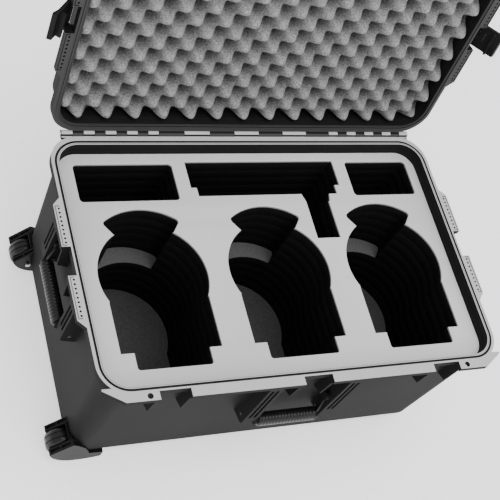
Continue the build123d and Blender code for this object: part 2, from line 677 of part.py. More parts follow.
def lid_shell():
    """The lid, built closed."""
    outside = drafted(OUT_X, OUT_Y, CORNER_R + WALL, RIM_Z, LID_HEIGHT)
    outside = fillet(far_edges(outside, RIM_Z + LID_HEIGHT), EDGE_R)
    inside = drafted(IN_X, IN_Y, CORNER_R, RIM_Z, LID_HEIGHT - FLOOR)
    inside = fillet(far_edges(inside, RIM_Z + LID_HEIGHT - FLOOR), EDGE_R - WALL)
    solid = outside + rim_solid(1) + knuckles(False) + latch_ears()
    top = RIM_Z + LID_HEIGHT
    for x in (-270, -150, 150, 270):
        rib = Pos(x, 0) * RectangleRounded(26, 320, 8)
        solid += Pos(0, 0, top - 1) * extrude(rib, amount=4)
    solid -= inside
    solid -= above_rim(1)
    solid += ring(GROOVE_IN + 1, GROOVE_W - 2, RIM_Z - TONGUE_H, RIM_Z + 2)
    solid -= ring(1.8, LINE_W, RIM_Z - 1, RIM_Z + 0.8)
    solid -= flange_holes(1)
    solid -= rod_x(HINGE_PIN_R + RUNNING_FIT, -hinge_half() - 1, hinge_half() + 1, HINGE_Y, RIM_Z)
    solid -= block(-70, 70, -30, 30, top - 1, top + 1)
    return solid


def name_plate():
    top = RIM_Z + LID_HEIGHT
    plate = Pos(0, 0, top - 1) * extrude(RectangleRounded(139, 59, 3), amount=1.6)
    return plate


def lid_foam():
    low = RIM_Z + LID_FOAM_DOWN
    high = RIM_Z + LID_HEIGHT - FLOOR - FOAM_REST
    corner = CORNER_R - FOAM_GAP
    half_x = narrowed(IN_X, LID_FOAM_DOWN) - FOAM_GAP
    half_y = narrowed(IN_Y, LID_FOAM_DOWN) - FOAM_GAP
    solid = drafted(half_x, half_y, corner, low, high - low)
    return chamfer(far_edges(solid, high), EDGE_R - WALL)


def bay_body():
    """Plan of the deep part of a bay, about its own centre."""
    plan = Pos(0, BAY_CIRCLE_Y) * Circle(BAY_CIRCLE_R)
    middle = (BAY_CIRCLE_Y + BAY_SHOULDER_Y) / 2 - 22
    plan += Pos(0, middle) * Rectangle(2 * BAY_HALF, 2 * (middle - BAY_SHOULDER_Y))
    foot = Pos(0, (BAY_FOOT_Y + BAY_SHOULDER_Y) / 2) * Rectangle(2 * BAY_FOOT_HALF,
                                                                  BAY_SHOULDER_Y - BAY_FOOT_Y)
    foot = fillet(foot.vertices().group_by(Axis.Y)[0], BAY_FOOT_R)
    return plan + foot + Pos(0, BAY_SHOULDER_Y) * Rectangle(2 * BAY_FOOT_HALF, 6)


def bay_cap():
    """Plan of the shallow cap above the neck."""
    arc = ThreePointArc((-CAP_HALF, CAP_SIDE_Y), (0, CAP_TOP_Y), (CAP_HALF, CAP_SIDE_Y))
    sides = Polyline((CAP_HALF, CAP_SIDE_Y), (NECK_HALF, NECK_Y), (-NECK_HALF, NECK_Y),
                     (-CAP_HALF, CAP_SIDE_Y))
    plan = make_face(arc + sides)
    tips = [v for v in plan.vertices() if abs(v.Y - CAP_SIDE_Y) < 0.1]
    return fillet(tips, 7)


def pockets():
    """Plan of the accessory pockets behind the bays."""
    plan = Pos(-244.5, 166) * RectangleRounded(185, 76, 7)
    plan += Pos(278, 167.2) * RectangleRounded(138, 75.5, 7)
    plan += make_face(Polyline((-125, 208), (182, 208), (182, 153.5), (171, 153.5), (171, 134.5),
                               (153.5, 134.5), (150, 118), (147.5, 118), (147.5, 39), (99.5, 39),
                               (99.5, 118), (94.5, 135), (-114, 135), (-114, 153), (-125, 153),
                               close=True))
    return plan


def bay_centres():
    return [BAY_FIRST_X + BAY_PITCH * index for index in range(3)]


def foam_block(z0, z1, plan):
    """Foam between two heights inside the shell, with a plan of holes cut through it."""
    drop = RIM_Z - z1
    solid = drafted(narrowed(IN_X, drop) - FOAM_GAP, narrowed(IN_Y, drop) - FOAM_GAP,
                    narrowed(CORNER_R, drop) - FOAM_GAP, z1, z0 - z1)
    if z0 < FLOOR_Z + EDGE_R:
        solid = chamfer(far_edges(solid, z0), EDGE_R - WALL)
    solid -= well_boxes(WALL + FOAM_GAP)
    for face in plan:
        solid -= Pos(0, 0, z0 - 1) * extrude(face, amount=z1 - z0 + 2)
    return solid


def upper_plans():
    plans = [pockets()]
    for x in bay_centres():
        plans.append(Pos(x, 0) * (bay_body() + bay_cap()))
    return plans


def lower_plans():
    return [Pos(x, 0) * bay_body() for x in bay_centres()]


def underside(x, end_x, end_z):
    """Height at x of the arc that touches the ground at BELLY_X and passes through an end."""
    radius = ((end_x - BELLY_X) ** 2 + end_z ** 2) / (2 * end_z)
    return radius - sqrt(radius ** 2 - (x - BELLY_X) ** 2)


def housing_side(edge_points, back_x, y0, y1):
    """A slice of a wheel housing: points from the head of its slope to back_x, closed by the
    sloped face and the rounded underside."""
    back_z = underside(back_x, TAIL_X, TAIL_Z)
    nose_mid = (NOSE_X + BELLY_X) / 2
    back_mid = (BELLY_X + back_x) / 2
    front_arc = ThreePointArc((NOSE_X, NOSE_Z), (nose_mid, underside(nose_mid, NOSE_X, NOSE_Z)),
                              (BELLY_X, 0))
    back_arc = ThreePointArc((BELLY_X, 0), (back_mid, underside(back_mid, TAIL_X, TAIL_Z)),
                             (back_x, back_z))
    edge = Polyline((back_x, back_z), *reversed(edge_points), (NOSE_X, NOSE_Z))
    plane = Plane(origin=(0, y0, 0), x_dir=(1, 0, 0), z_dir=(0, -1, 0))
    return extrude(make_face(plane * (front_arc + back_arc + edge)), amount=y1 - y0, dir=(0, 1, 0))


def slope_slots(y):
    """Two slots in a line down the sloped face."""
    head_x = WHEEL_X + SLOPE_TOP_RUN
    run = head_x - NOSE_X
    rise = WELL_Z - NOSE_Z
    angle = 90 - degrees(atan2(rise, run))
    middle = Pos((NOSE_X + head_x) / 2, y, (NOSE_Z + WELL_Z) / 2) * Rot(0, angle, 0)
    shift = (SLOT_L + SLOT_BRIDGE) / 2
    cuts = Part()
    for way in (-1, 1):
        cuts += middle * Pos(0, 0, way * shift) * Box(2 * SLOT_D, SLOT_W, SLOT_L)
    return cuts


def housing_screw_place(way):
    return (BELLY_X + TAIL_X) / 2 + 8, way * (FOOT_IN_Y + 8)


def wheel_housing(way):
    """Housing that wraps one lower corner; way is -1 at the front and 1 at the back."""
    def across(a, b):
        return sorted((way * a, way * b))

    head = (WHEEL_X + SLOPE_TOP_RUN, WELL_Z)
    solid = housing_side([head, (WELL_X, WELL_Z)], WELL_X, *across(HOUSING_IN_Y, WELL_OUT_Y))
    cheek = [head, (WHEEL_X + 16, WELL_Z - 5.5), (WHEEL_X + 32, WELL_Z - 20.5),
             (WHEEL_X + 41.5, GROUND_GAP + 12), (WHEEL_X + 46, GROUND_GAP + 1), (TAIL_X, GROUND_GAP)]
    solid += housing_side(cheek, TAIL_X, *across(WELL_OUT_Y, HOUSING_OUT_Y))
    foot_x0 = WHEEL_X + 40
    foot = housing_side(cheek, TAIL_X, *across(FOOT_IN_Y, HOUSING_OUT_Y))
    solid += foot & block(foot_x0, TAIL_X, *across(FOOT_IN_Y, HOUSING_OUT_Y), 0, GROUND_GAP)
    solid -= tub() - well_boxes(0)
    y0, y1 = across(WHEEL_Y - WHEEL_W / 2 - 1, WHEEL_Y + WHEEL_W / 2 + 1)
    room = WHEEL_R + WELL_GAP
    solid -= block(NOSE_X - 5, WHEEL_X + room, y0, y1, -1, WELL_Z + 1)
    solid += block(WHEEL_X - 1, head[0] + 1, y0, y1, WELL_Z - 4, WELL_Z)
    solid -= rod_y(AXLE_R, *across(HOUSING_IN_Y - 1, HOUSING_OUT_Y - 3), WHEEL_X, WHEEL_Z)
    for y in (HOUSING_IN_Y + 5, HOUSING_OUT_Y - 6.5):
        solid -= slope_slots(way * y)
    x, y = housing_screw_place(way)
    solid -= rod_z(SCREW_R, 0, GROUND_GAP + 1, x, y)
    solid -= rod_z(SCREW_HEAD_R + 0.3, -1, GROUND_GAP - 12, x, y)
    return solid


def wheel_axle(way):
    """Axle, blind in the outer cheek, with its nut on the inner one."""
    y0, y1 = sorted((way * (HOUSING_IN_Y - 5), way * (HOUSING_OUT_Y - 3.5)))
    solid = rod_y(AXLE_R, y0, y1, WHEEL_X, WHEEL_Z)
    nut = Pos(WHEEL_X, way * (HOUSING_IN_Y - 2), WHEEL_Z) * Rot(90, 0, 0)
    nut *= extrude(RegularPolygon(AXLE_NUT_R, 6), amount=1.8, both=True)
    return solid + nut


def housing_screws():
    solid = Part()
    for way in (-1, 1):
        x, y = housing_screw_place(way)
        solid += rod_z(SCREW_R, GROUND_GAP - 12, FLOOR_Z - 0.5, x, y)
        solid += rod_z(SCREW_HEAD_R, GROUND_GAP - 14.5, GROUND_GAP - 12, x, y)
    return solid


def wheel_hub(way):
    y = way * WHEEL_Y
    half = WHEEL_W / 2
    solid = rod_y(HUB_R, y - half + 1, y + half - 1, WHEEL_X, WHEEL_Z)
    for side in (-1, 1):
        y0, y1 = sorted((y + side * 5, y + side * (half + 1)))
        solid -= rod_y(HUB_R - 3, y0, y1, WHEEL_X, WHEEL_Z) - rod_y(8.0, y0 - 1, y1 + 1, WHEEL_X, WHEEL_Z)
    for index in range(5):
        angle = radians(72 * index)
        solid -= rod_y(3.0, y - half, y + half, WHEEL_X + 12.5 * cos(angle), WHEEL_Z + 12.5 * sin(angle))
    return solid - rod_y(AXLE_R + RUNNING_FIT, y - half - 1, y + half + 1, WHEEL_X, WHEEL_Z)


def wheel_tyre(way):
    y = way * WHEEL_Y
    half = WHEEL_W / 2
    tyre = rod_y(WHEEL_R, y - half, y + half, WHEEL_X, WHEEL_Z)
    tyre = fillet(tyre.edges().filter_by(GeomType.CIRCLE), 4)
    return tyre - rod_y(HUB_R, y - half - 1, y + half + 1, WHEEL_X, WHEEL_Z)


def build():
    nodes = {
        "base_shell": base_shell(),
        "rim_gasket": gasket(),
        "hinge_pin": hinge_pin(),
        "foam_floor_pad": foam_block(FLOOR_Z + FOAM_REST, DEEP_Z, []),
        "foam_lower_layers": foam_block(DEEP_Z, LEDGE_Z, lower_plans()),
        "foam_upper_layers": foam_block(LEDGE_Z, FOAM_TOP - SHEET_T, upper_plans()),
        "foam_top_sheet": foam_block(FOAM_TOP - SHEET_T, FOAM_TOP, upper_plans()),
        "wheel_housing_screws": housing_screws(),
        "pressure_valve_body": pressure_valve_body(),
        "pressure_valve_seal": pressure_valve_seal(),
        "pull_outer_tubes": pull_outer_tubes(),
        "pull_tube_clamps": pull_clamps(),
        "pull_clamp_screws": pull_clamp_screws(),
        "pull_inner_tubes": pull_inner_tubes(),
        "pull_grip": pull_grip(),
        "pull_release_button": pull_release_button(),
        "lid_shell": opened(lid_shell()),
        "lid_foam": opened(lid_foam()),
        "lid_name_plate": opened(name_plate()),
        "lid_latch_pins": opened(latch_pins()),
    }
    for name, way in (("front", -1), ("rear", 1)):
        nodes[f"wheel_housing_{name}"] = wheel_housing(way)
        nodes[f"wheel_axle_{name}"] = wheel_axle(way)
        nodes[f"wheel_hub_{name}"] = wheel_hub(way)
        nodes[f"wheel_tyre_{name}"] = wheel_tyre(way)
    for side in SIDES:
        nodes[f"{side}_handle_bail"] = handle_bail(side)
        nodes[f"{side}_handle_grip"] = handle_grip(side)
        nodes[f"{side}_handle_stop_pins"] = stop_pins(side)
    for name, side, offset, edge in latch_places():
        lever = released(latch_lever(offset, edge), offset, edge)
        button = released(latch_button(offset, edge), offset, edge)
        nodes[f"latch_lever_{name}"] = opened(turned(lever, side))
        nodes[f"latch_button_{name}"] = opened(turned(button, side))
    return nodes


for node, solid in build().items():
    export_step(solid, f"parts/{node}.step")
    box = solid.bounding_box()
    print(f"{node:28s} {len(solid.solids())} solids {solid.volume / 1000:9.1f} cm3 "
          f"x {box.min.X:.1f}..{box.max.X:.1f} y {box.min.Y:.1f}..{box.max.Y:.1f} "
          f"z {box.min.Z:.1f}..{box.max.Z:.1f}")
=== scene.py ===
# %% [markdown]
# This lesson dresses a wheeled transport case for aircraft, seen with its lid open. The CAD model gives
# every hard part at its real size. Here the foam, the soft grips and the tyres get their real shapes, and
# every surface gets a material made of nodes.

# %% Load the CAD model as a fixed frame
import bpy
import bmesh
import json
from math import cos, pi, radians, sin
from mathutils import Matrix, Vector
from mathutils.geometry import tessellate_polygon


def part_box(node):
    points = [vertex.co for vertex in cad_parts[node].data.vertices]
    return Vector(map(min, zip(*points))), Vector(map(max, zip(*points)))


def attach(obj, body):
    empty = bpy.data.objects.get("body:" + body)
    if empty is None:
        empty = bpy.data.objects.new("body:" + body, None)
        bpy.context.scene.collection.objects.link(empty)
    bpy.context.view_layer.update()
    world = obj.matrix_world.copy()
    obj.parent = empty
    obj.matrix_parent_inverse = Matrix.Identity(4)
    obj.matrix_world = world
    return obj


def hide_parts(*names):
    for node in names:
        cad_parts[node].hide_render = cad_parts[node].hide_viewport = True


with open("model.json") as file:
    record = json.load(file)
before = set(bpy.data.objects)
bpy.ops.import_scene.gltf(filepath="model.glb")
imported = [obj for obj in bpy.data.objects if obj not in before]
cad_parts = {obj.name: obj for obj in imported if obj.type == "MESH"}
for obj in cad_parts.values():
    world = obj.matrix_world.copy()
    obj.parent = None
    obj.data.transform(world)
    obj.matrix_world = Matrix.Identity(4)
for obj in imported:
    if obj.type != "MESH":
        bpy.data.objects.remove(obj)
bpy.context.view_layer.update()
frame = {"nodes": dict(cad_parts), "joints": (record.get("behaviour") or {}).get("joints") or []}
MM = 0.001

# %% [markdown]
# The lid turns about one long pin. Its pieces are easiest to shape with the lid shut, where its rim lies
# level, and then to swing open together. The hinge comes from the joint itself, so the foam follows if
# the case changes size.

# %% Measure the places that the pieces are built from
joints = {joint["name"]: joint for joint in frame["joints"]}
hinge = Vector(joints["lid_hinge"]["pos_m"])
LID_ANGLE = radians(99)
RIM_Z = hinge.z
swing_open = (Matrix.Translation(hinge) @ Matrix.Rotation(-LID_ANGLE, 4, "X")
              @ Matrix.Translation(-hinge))
mouth_way = swing_open.to_3x3() @ Vector((0, 0, -1))
sheet_low, sheet_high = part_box("foam_top_sheet")
print("rim height", round(RIM_Z, 4), "foam top", round(sheet_high.z, 4))

# %% [markdown]
# A material is a small network of nodes. Every one here starts from the Principled shader, gets its base
# colour and roughness on the sockets, and then gets a bump from noise, because moulded plastic, rubber and
# foam are never perfectly smooth. A short helper wires the noise, so that each finish is a few lines.


# %% Helpers for materials
def finish(name, colour, roughness, **sockets):
    """A Principled material; sockets are set directly, by their names with _ for spaces."""
    material = bpy.data.materials.new(name)
    material.use_nodes = True
    shader = material.node_tree.nodes["Principled BSDF"]
    shader.inputs["Base Color"].default_value = (*colour, 1)
    shader.inputs["Roughness"].default_value = roughness
    for socket, value in sockets.items():
        shader.inputs[socket.replace("_", " ")].default_value = value
    return material


def add(material, kind, **inputs):
    """Adds one node; inputs are socket names with _ for spaces."""
    node = material.node_tree.nodes.new(kind)
    for socket, value in inputs.items():
        node.inputs[socket.replace("_", " ")].default_value = value
    return node


def link(material, a, b):
    material.node_tree.links.new(a, b)


def shader_of(material):
    return material.node_tree.nodes["Principled BSDF"]


def place_of(material):
    """Position and normal in the object's own space, which a moving piece carries with it."""
    for node in material.node_tree.nodes:
        if node.bl_idname == "ShaderNodeTexCoord":
            return node
    return add(material, "ShaderNodeTexCoord")


def noise(material, scale, detail=3.0, roughness=0.6):
    node = add(material, "ShaderNodeTexNoise", Scale=scale, Detail=detail, Roughness=roughness)
    link(material, place_of(material).outputs["Object"], node.inputs["Vector"])
    return node


def grain(material, layers, soften=0.0):
    """Bumps of several sizes, one on another: each layer is (scale, height in metres)."""
    normal = None
    if soften:
        rounded = add(material, "ShaderNodeBevel", Radius=soften)
        normal = rounded.outputs["Normal"]
    for scale, height in layers:
        bump = add(material, "ShaderNodeBump", Distance=height, Strength=1.0)
        link(material, noise(material, scale).outputs["Fac"], bump.inputs["Height"])
        if normal:
            link(material, normal, bump.inputs["Normal"])
        normal = bump.outputs["Normal"]
    link(material, normal, shader_of(material).inputs["Normal"])


def ramp(material, source, stops):
    """A colour ramp over a value; stops are (place, grey or colour)."""
    node = add(material, "ShaderNodeValToRGB")
    while len(node.color_ramp.elements) < len(stops):
        node.color_ramp.elements.new(0.5)
    for element, (place, colour) in zip(node.color_ramp.elements, stops):
        element.position = place
        element.color = (*colour, 1) if isinstance(colour, tuple) else (colour, colour, colour, 1)
    link(material, source, node.inputs["Fac"])
    return node


def mottled(material, scale, dark, light):
    """Base colour that drifts a little between two greys."""
    source = noise(material, scale).outputs["Fac"]
    node = ramp(material, source, [(0.35, dark), (0.65, light)])
    link(material, node.outputs["Color"], shader_of(material).inputs["Base Color"])
    return node


# %% [markdown]
# The shell is one moulding of charcoal plastic with a fine spark texture. The flat faces of its rim
# and flanges are smoother and catch all of the light from above, and that light is painted into their colour
# as a paler grey. It looks at which way a face points and how close it is to the rim plane, and mixes in the
# painted sheen.


# %% Charcoal shell with a painted sheen on its rim
def facing(material, way, least, most):
    """0 to 1 as a face turns towards a direction."""
    dot = add(material, "ShaderNodeVectorMath")
    dot.operation = "DOT_PRODUCT"
    dot.inputs[1].default_value = way
    link(material, place_of(material).outputs["Normal"], dot.inputs[0])
    step = add(material, "ShaderNodeMapRange", From_Min=least, From_Max=most)
    link(material, dot.outputs["Value"], step.inputs["Value"])
    return step.outputs["Result"]


def beyond(material, point, way, least, most):
    """0 to 1 with the distance from a plane through a point, in metres."""
    shift = add(material, "ShaderNodeVectorMath")
    shift.operation = "SUBTRACT"
    shift.inputs[1].default_value = point
    link(material, place_of(material).outputs["Object"], shift.inputs[0])
    dot = add(material, "ShaderNodeVectorMath")
    dot.operation = "DOT_PRODUCT"
    dot.inputs[1].default_value = way
    link(material, shift.outputs["Vector"], dot.inputs[0])
    step = add(material, "ShaderNodeMapRange", From_Min=least, From_Max=most)
    link(material, dot.outputs["Value"], step.inputs["Value"])
    return step.outputs["Result"]


def times(material, a, b):
    node = add(material, "ShaderNodeMath")
    node.operation = "MULTIPLY"
    link(material, a, node.inputs[0])
    link(material, b, node.inputs[1])
    return node.outputs["Value"]


def blended(material, amount, under, over):
    """Mixes two colour outputs or greys by an amount."""
    node = add(material, "ShaderNodeMix")
    node.data_type = "RGBA"
    link(material, amount, node.inputs["Factor"])
    for socket, value in ((node.inputs["A"], under), (node.inputs["B"], over)):
        if isinstance(value, float):
            socket.default_value = (value, value, value, 1)
        else:
            link(material, value, socket)
    return node.outputs["Result"]


def shell_plastic(name, up, dark, rim_sheen_grey):
    """Moulded shell whose rim faces, those that point along up near the rim plane, get a painted sheen: a
    paler grey standing in for the light they catch from above.
    """
    material = finish(name, (dark, dark, dark * 1.04), 0.6, Specular_IOR_Level=0.05)
    # Painted sheen: faces near the rim plane that point along up get a paler grey for the light they catch
    # from above.
    near_rim = beyond(material, tuple(hinge), tuple(up), -0.0125, -0.0115)
    painted_sheen_mask = times(material, facing(material, tuple(up), 0.55, 0.75), near_rim)
    body = ramp(material, noise(material, 7.0).outputs["Fac"], [(0.3, dark * 0.85), (0.7, dark * 1.15)])
    # rim holds the grey of the painted sheen, with a little random tone.
    rim = ramp(material, noise(material, 25.0).outputs["Fac"], [(0.3, rim_sheen_grey * 0.94), (0.7, rim_sheen_grey)])
    colour = blended(material, painted_sheen_mask, body.outputs["Color"], rim.outputs["Color"])
    link(material, colour, shader_of(material).inputs["Base Color"])
    grain(material, [(900.0, 0.00006), (60.0, 0.0001)], soften=0.0012)
    return material


SHELL_GREY = 0.013
# The rim sheen is painted light: strong on the base, whose rim faces the light above, faint on the open lid,
# whose rim faces forward.
base_plastic = shell_plastic("base shell plastic", Vector((0, 0, 1)), SHELL_GREY, 0.55)
lid_plastic = shell_plastic("lid shell plastic", mouth_way, SHELL_GREY, 0.06)
print("shell materials", base_plastic.name, lid_plastic.name)

# %% [markdown]
# The other finishes follow the same pattern: satin black for fittings, rubber for the grips, a shinier
# rubber for the tyres, steel and aluminium for pins and tubes. Numbers that are the same all over a piece
# go straight on the shader, and only what varies gets nodes.


# %% Finishes of the fittings
def fitting_plastic():
    material = finish("fitting plastic", (0.008, 0.008, 0.0085), 0.4, Specular_IOR_Level=0.1)
    mottled(material, 30.0, 0.006, 0.010)
    grain(material, [(700.0, 0.00005)], soften=0.001)
    return material


def rubber(name, grey, roughness, coat):
    material = finish(name, (grey, grey, grey), roughness, Coat_Weight=coat, Coat_Roughness=0.2,
                      Specular_IOR_Level=0.2)
    mottled(material, 40.0, grey * 0.8, grey * 1.25)
    grain(material, [(420.0, 0.00012)])
    return material


def metal(name, grey, roughness):
    material = finish(name, (grey, grey, grey), roughness, Metallic=1.0)
    mottled(material, 60.0, grey * 0.85, grey)
    grain(material, [(350.0, 0.00004)])
    return material


fittings = fitting_plastic()
gasket_rubber = rubber("gasket rubber", 0.012, 0.6, 0.0)
grip_rubber = rubber("grip rubber", 0.009, 0.4, 0.25)
tyre_rubber = rubber("tyre rubber", 0.007, 0.35, 0.25)
steel = metal("pin steel", 0.62, 0.3)
aluminium = metal("tube aluminium", 0.55, 0.34)
plate_metal = metal("blank plate", 0.42, 0.4)

# %% [markdown]
# The CAD nodes that already have the right shape only need their finish. A table of name endings keeps
# that short: the first ending that matches a node's name decides.

# %% Dress the CAD nodes
CAD_FINISHES = [("base_shell", base_plastic), ("lid_shell", lid_plastic), ("gasket", gasket_rubber),
                ("seal", gasket_rubber), ("pins", steel), ("hinge_pin", steel), ("screws", steel),
                ("axle_front", steel), ("axle_rear", steel), ("tubes", aluminium),
                ("name_plate", plate_metal), ("tyre_front", tyre_rubber), ("tyre_rear", tyre_rubber),
                ("handle_grip", grip_rubber)]


def cad_finish(name):
    for ending, material in CAD_FINISHES:
        if name.endswith(ending):
            return material
    return fittings


for name, node in frame["nodes"].items():
    node.data.materials.clear()
    node.data.materials.append(cad_finish(name))
    node.data.polygons.foreach_set("use_smooth", [True] * len(node.data.polygons))
    node.data.set_sharp_from_angle(angle=radians(32))
print("dressed", len(frame["nodes"]), "CAD nodes")

# %% [markdown]
# The insert is made of foam planks, glued in a stack and cut through with a die, under a thin pale facing
# sheet. The cut outline can be read from the CAD sheet: its top face's border edges, chained into loops,
# are the outside and every hole. That keeps the foam exactly on the frame with no outline typed twice.


# %% Read the cut outlines from a CAD foam block
def border_loops(node_name, height):
    """Closed loops of points round the flat face of a node at a height."""
    mesh = bmesh.new()
    mesh.from_mesh(frame["nodes"][node_name].data)
    bmesh.ops.remove_doubles(mesh, verts=mesh.verts, dist=1e-5)
    flat = {f for f in mesh.faces if all(abs(v.co.z - height) < 1e-5 for v in f.verts)}
    nexts = {}
    for face in flat:
        for loop in face.loops:
            others = [f for f in loop.edge.link_faces if f is not face]
            if not any(f in flat for f in others):
                nexts[loop.vert] = loop.link_loop_next.vert
    loops = []
    while nexts:
        start, vert = nexts.popitem()
        points = [start.co.xy.copy()]
        while vert is not start:
            points.append(vert.co.xy.copy())
            vert = nexts.pop(vert)
        loops.append(points)
    mesh.free()
    return sorted(loops, key=lambda points: -spread(points))


def spread(points):
    xs = [p.x for p in points]
    return max(xs) - min(xs)


def evened(points, step):
    """The same loop with long runs divided and tiny steps dropped."""
    kept = []
    for a, b in zip(points, points[1:] + points[:1]):
        length = (b - a).length
        if length < 0.0004:
            continue
        parts = max(1, round(length / step))
        kept += [a.lerp(b, i / parts) for i in range(parts)]
    return kept


LOOP_STEP = 12 * MM
sheet_loops = [evened(p, LOOP_STEP) for p in border_loops("foam_top_sheet", sheet_high.z)]
print("the insert's outside and", len(sheet_loops) - 1, "holes")

# %% [markdown]
# A plank is built ring by ring: the same loop at several heights, each moved a little out or in. Moving
# it into the foam by a fraction of a millimetre at the top and bottom of every plank leaves the fine grooves
# that show where planks are glued, and a few rings with growing moves round off the facing sheet's edge. The
# outside also narrows with depth, because the insert sits in a tapered shell.


# %% Shape a stack of foam planks
def moved(points, distance):
    """The loop moved sideways, to its left when distance is positive."""
    result = []
    count = len(points)
    for i, point in enumerate(points):
        ahead = (points[(i + 1) % count] - point).normalized()
        behind = (point - points[i - 1]).normalized()
        side = Vector((-(ahead + behind).y, (ahead + behind).x))
        lean = max(side.length / 2, 0.35)
        result.append(point + side.normalized() * distance / lean)
    return result


def planked(name, loops, rings, materials, lean=0.0):
    """A solid with those loops; rings are (height, how far the foam is eaten back). Lean is how much
    the outside narrows per metre of depth."""
    mesh = bmesh.new()
    levels = []
    for height, eaten in rings:
        level = []
        for i, loop in enumerate(loops):
            inward = eaten if i else eaten + lean * (rings[-1][0] - height)
            level.append([mesh.verts.new((p.x, p.y, height)) for p in moved(loop, inward)])
        levels.append(level)
    for low, high in zip(levels, levels[1:]):
        for a, b in zip(low, high):
            for i in range(len(a)):
                j = (i + 1) % len(a)
                mesh.faces.new((a[i], a[j], b[j], b[i]))
    for level, flip in ((levels[0], True), (levels[-1], False)):
        flat = [vert for loop in level for vert in loop]
        cover = tessellate_polygon([[v.co for v in loop] for loop in level])
        for triangle in cover:
            corners = [flat[i] for i in triangle]
            up = (corners[1].co - corners[0].co).cross(corners[2].co - corners[0].co).z > 0
            if up == flip:
                corners.reverse()
            mesh.faces.new(corners)
    bmesh.ops.recalc_face_normals(mesh, faces=mesh.faces)
    data = bpy.data.meshes.new(name)
    mesh.to_mesh(data)
    mesh.free()
    for material in materials:
        data.materials.append(material)
    data.polygons.foreach_set("use_smooth", [True] * len(data.polygons))
    data.set_sharp_from_angle(angle=radians(40))
    piece = bpy.data.objects.new(name, data)
    bpy.context.scene.collection.objects.link(piece)
    return piece


def plank_rings(low, high, planks, groove=0.0007, rounding=0.001):
    """Heights and moves for a stack of planks with a groove at every glue line."""
    rings = []
    for i in range(planks):
        a = low + (high - low) * i / planks
        b = low + (high - low) * (i + 1) / planks
        rings += [(a, groove), (a + rounding, 0.0), (b - rounding, 0.0), (b - 1e-5, groove)]
    return rings


# %% [markdown]
# Cut foam is matte and full of tiny cells. The facing sheet is a smooth pale skin and the planks are black.
# The ledges and floors of the bays catch more of the light from above than the walls, and that light is
# painted into the planks' colour as a paler grey on faces that point up. The same test on the face's
# direction makes that difference.


# %% Foam finishes
def sheet_foam():
    material = finish("facing sheet foam", (0.7, 0.7, 0.7), 0.85, Specular_IOR_Level=0.2)
    top = ramp(material, noise(material, 2.2, 1.0).outputs["Fac"], [(0.3, 0.62), (0.7, 0.78)])
    colour = blended(material, facing(material, (0, 0, 1), 0.3, 0.8), 0.3, top.outputs["Color"])
    link(material, colour, shader_of(material).inputs["Base Color"])
    grain(material, [(1100.0, 0.00008), (260.0, 0.00006)])
    return material


def plank_foam(name, side, top):
    material = finish(name, (side, side, side), 0.92, Specular_IOR_Level=0.15)
    # Painted light: faces that point up get a paler grey for the light from above; the cut sides keep the
    # black foam's own colour.
    painted_top_light = ramp(material, noise(material, 260.0).outputs["Fac"], [(0.3, top * 0.8), (0.7, top * 1.2)])
    cut = ramp(material, noise(material, 420.0).outputs["Fac"], [(0.3, side * 0.6), (0.7, side * 1.6)])
    colour = blended(material, facing(material, (0, 0, 1), 0.5, 0.9), cut.outputs["Color"],
                     painted_top_light.outputs["Color"])
    link(material, colour, shader_of(material).inputs["Base Color"])
    grain(material, [(800.0, 0.0002), (150.0, 0.0001)])
    return material


def stays(piece, node, body="root"):
    """The piece stands for one soft CAD node."""
    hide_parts(node)
    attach(piece, body)


facing_foam = sheet_foam()
# The top greys given here are painted light, one for each stack of planks.
ledge_foam = plank_foam("upper plank foam", 0.004, LOOP_STEP)
deep_foam = plank_foam("lower plank foam", 0.004, 0.1)
floor_foam = plank_foam("floor pad foam", 0.004, 0.06)

# %% Build the insert from the top sheet down
sheet = planked("foam_facing", sheet_loops,
                [(sheet_low.z, 0.0), (sheet_high.z - 0.0012, 0.0), (sheet_high.z - 0.0005, 0.0002),
                 (sheet_high.z - 0.0001, 0.0006), (sheet_high.z, 0.0012)], [facing_foam])
stays(sheet, "foam_top_sheet")


def foam_lean():
    """How much the insert narrows on each side per metre of depth, to fit the tapered shell."""
    low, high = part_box("foam_upper_layers")
    top = spread(border_loops("foam_upper_layers", high.z)[0])
    bottom = spread(border_loops("foam_upper_layers", low.z)[0])
    return (top - bottom) / 2 / (high.z - low.z)


LEAN = foam_lean()
print("the insert leans in by", round(LEAN, 4), "per metre of depth")


def plank_stack(name, node, planks, material, start=None):
    """Planks for one CAD foam block, cut with that block's own outline."""
    low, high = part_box(node)
    loops = [evened(p, LOOP_STEP) for p in border_loops(node, high.z)]
    rings = plank_rings(low.z, high.z, planks)
    if start:
        rings = start + rings[2:]
    piece = planked(name, loops, rings, [material], LEAN)
    stays(piece, node)
    print(name, "planks", planks, "loops", len(loops))
    return piece


plank_stack("foam_upper_planks", "foam_upper_layers", 5, ledge_foam)

# %% [markdown]
# The two wheel wells rise a little way into the lowest planks. The lower stack is therefore made in two
# pieces: a thin one with the notched outline of the block's underside, and the rest above the wells.

